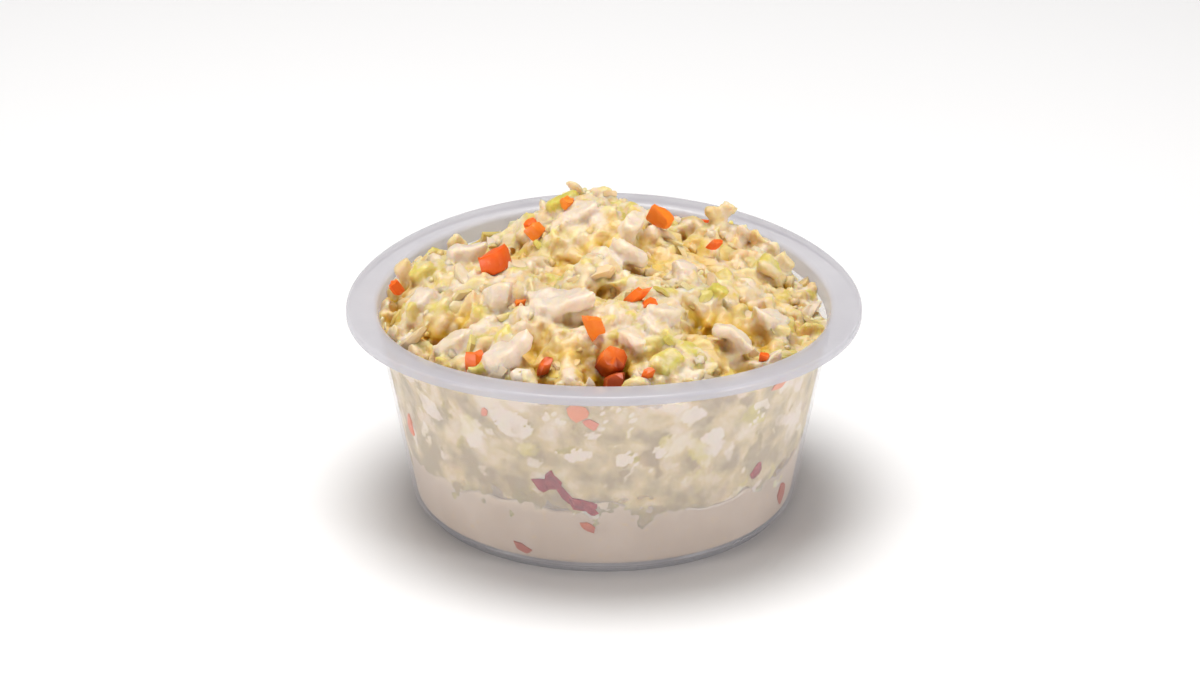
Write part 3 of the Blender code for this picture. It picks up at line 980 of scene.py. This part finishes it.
# carrot on the heap, then down in its pits, with extra painted shade, then behind the wall
openCarrots = [(-18.6, -0.4, 1.0, 6.2, 4.6, 4.0, 30, 15), (-12.2, 15.0, 0.7, 3.2, 2.6, 2.2, 0, 0),
               (-11.8, 10.5, 0.8, 3.6, 2.6, 2.4, -30, 0), (9.6, 10.6, 0.8, 6.0, 3.6, 2.6, -38, 0),
               (19.0, 9.4, 0.8, 2.8, 1.8, 1.6, 30, 0), (-36.0, 1.6, 0.6, 2.4, 2.2, 2.2, 0, 0),
               (-1.6, -27.0, 0.8, 3.8, 4.0, 3.4, 10, 30), (5.0, -17.4, 0.6, 2.8, 2.6, 3.0, 10, 20),
               (-22.0, -28.2, 0.7, 3.8, 3.4, 2.8, 20, 20), (27.4, -25.0, 0.3, 2.2, 1.4, 1.4, 20, 0),
               (-14.6, -14.6, 0.2, 2.4, 2.0, 1.6, 0, 0)]
pitCarrots = [(1.1, -31.2, -0.6, 5.0, 5.4, 4.4, 5, 20), (1.5, -34.2, -0.6, 5.4, 4.8, 4.6, -10, 10),
              (7.4, -18.6, 0.7, 3.2, 3.0, 2.6, -20, 0), (-10.1, -32.5, -0.4, 2.8, 2.8, 2.4, 0, 0),
              (7.2, -35.0, 0.3, 2.2, 1.6, 1.8, 40, 0)]
wallCarrots = [(-97.4, 33.2, 0.4, 4.2, 4.0, 2.4, 10, 0), (-93.1, 31.0, 0.4, 3.6, 2.2, 2.0, -20, 0),
               (-122.3, 30.7, 0.3, 2.4, 1.6, 1.6, 60, 0), (-157.2, 20.1, 0.3, 3.0, 5.0, 2.0, 0, 0),
               (-38.6, 32.5, 0.3, 5.0, 2.4, 2.0, 15, 0), (-95.2, 10.2, 0.1, 3.8, 1.9, 2.2, -28, 0),
               (-115.3, 4.2, 0.1, 3.4, 1.8, 1.8, -30, 0), (-24.0, 7.0, 0.1, 2.4, 5.0, 2.0, 15, 0)]


def carrotFinish():
    paint = Shader("choppedCarrot")
    tone = paint.attribute("tone")
    place = paint.attribute("bitPlace", "Vector")
    ring = paint.noise(place, 0.0011, 3.0)
    own = paint.math("ADD", paint.channel(tone, 0), paint.spread(ring, -0.25, 0.25), clamp=True)
    colour = paint.ramp(own, [(0.0, (0.82, 0.10, 0.003)), (0.5, (0.90, 0.17, 0.005)),
                              (1.0, (0.93, 0.27, 0.02))])
    cream = paint.noise(paint.objectPlace(), 0.0024, 3.0)
    coated = paint.ramp(cream, [(0.58, (0, 0, 0)), (0.78, (0.55, 0.55, 0.55))])
    colour = paint.mix(coated, colour, (0.86, 0.40, 0.16))
    # painted shade: carrots lying deeper, in pits and below the heap's top, are painted darker
    sunk = paint.ramp(paint.channel(tone, 1), [(0.16, (0, 0, 0)), (0.7, (1, 1, 1))])
    colour = paint.mix(sunk, colour, (0.40, 0.050, 0.002))
    # painted shade: carrots low in the dressing pool, below about 14 mm, are painted darker towards the
    # bottom
    height = paint.node("ShaderNodeSeparateXYZ", {"Vector": paint.objectPlace()}).outputs["Z"]
    paintedLowShade = paint.math("MULTIPLY", paint.math("SUBTRACT", 0.014, height), 200, clamp=True)
    colour = paint.mix(paintedLowShade, colour, (0.42, 0.07, 0.008))
    creamy = paint.math("MULTIPLY", paint.math("SUBTRACT", height, 0.010), 50, clamp=True)
    creamy = paint.math("MULTIPLY", creamy, paint.spread(cream, 0.2, 0.8))
    creamy = paint.math("MULTIPLY", creamy, paint.attribute("tone", "Alpha"))
    colour = paint.mix(creamy, colour, (0.70, 0.38, 0.27))
    return paint.set(colour=colour, roughness=paint.spread(ring, 0.35, 0.55), scatter=0.15,
                     scatterRadius=(1.0, 0.35, 0.1), scatterScale=0.0012,
                     normal=paint.bump(ring, 0.3, 0.0004))


def makeCarrots():
    draw = np.random.default_rng(51)
    carrot = carrotFinish()
    # more of it at the far side: of a scatter all round, only what lies behind
    centre, normal = joined(heapPlaces(draw, 9, (-0.6, 0.6)), wallPlaces(draw, 12, 0.2, 0.9, (0.1, 0.8)))
    behind = centre[:, 1] > 14 * mm
    group = together(setOnHeap(draw, carrotDice, openCarrots),
                     setOnHeap(draw, carrotDice, pitCarrots, sunk=0.25),
                     setAtWall(draw, carrotDice, wallCarrots, intoWall=0.5),
                     bits(draw, carrotDice, (centre[behind], normal[behind])))
    slawPiece("carrotDice", group, carrot, 40)


# the reddish strip and the smaller reddish bit in the dressing behind the wall
redStrips = {"long": (4, 8), "wide": (3, 4), "thick": (1, 2), "cuts": 4, "bend": 0.04, "tilt": 0.5}
wallReds = [(-107.0, 18.0, 0.3, 5.0, 3.2, 1.8, 12, 0), (-104.2, 18.8, 0.3, 4.0, 3.6, 1.8, 50, 0),
            (-100.8, 16.4, 0.2, 6.0, 2.0, 1.8, -52, 0), (-96.6, 14.4, 0.2, 5.8, 2.4, 1.8, -12, 0),
            (-94.2, 13.6, 0.2, 3.6, 1.6, 1.8, -50, 0), (-41.9, 15.6, 0.3, 3.2, 2.6, 1.6, 30, 0)]


def redFinish():
    paint = Shader("reddishStrip")
    place = paint.attribute("bitPlace", "Vector")
    cloud = paint.noise(place, 0.0022, 3.0)
    colour = paint.ramp(cloud, [(0.3, (0.17, 0.006, 0.006)), (0.5, (0.34, 0.014, 0.010)),
                                (0.7, (0.56, 0.12, 0.09))])
    return paint.set(colour=colour, roughness=paint.spread(cloud, 0.25, 0.45), scatter=0.2,
                     scatterRadius=(1.0, 0.4, 0.3), scatterScale=0.0012,
                     normal=paint.bump(cloud, 0.3, 0.0005))


def makeReds():
    draw = np.random.default_rng(61)
    slawPiece("redBits", setAtWall(draw, redStrips, wallReds, intoWall=0.5), redFinish())


makeSlaw()
makeCarrots()
makeReds()
print("the chopped bits are in")
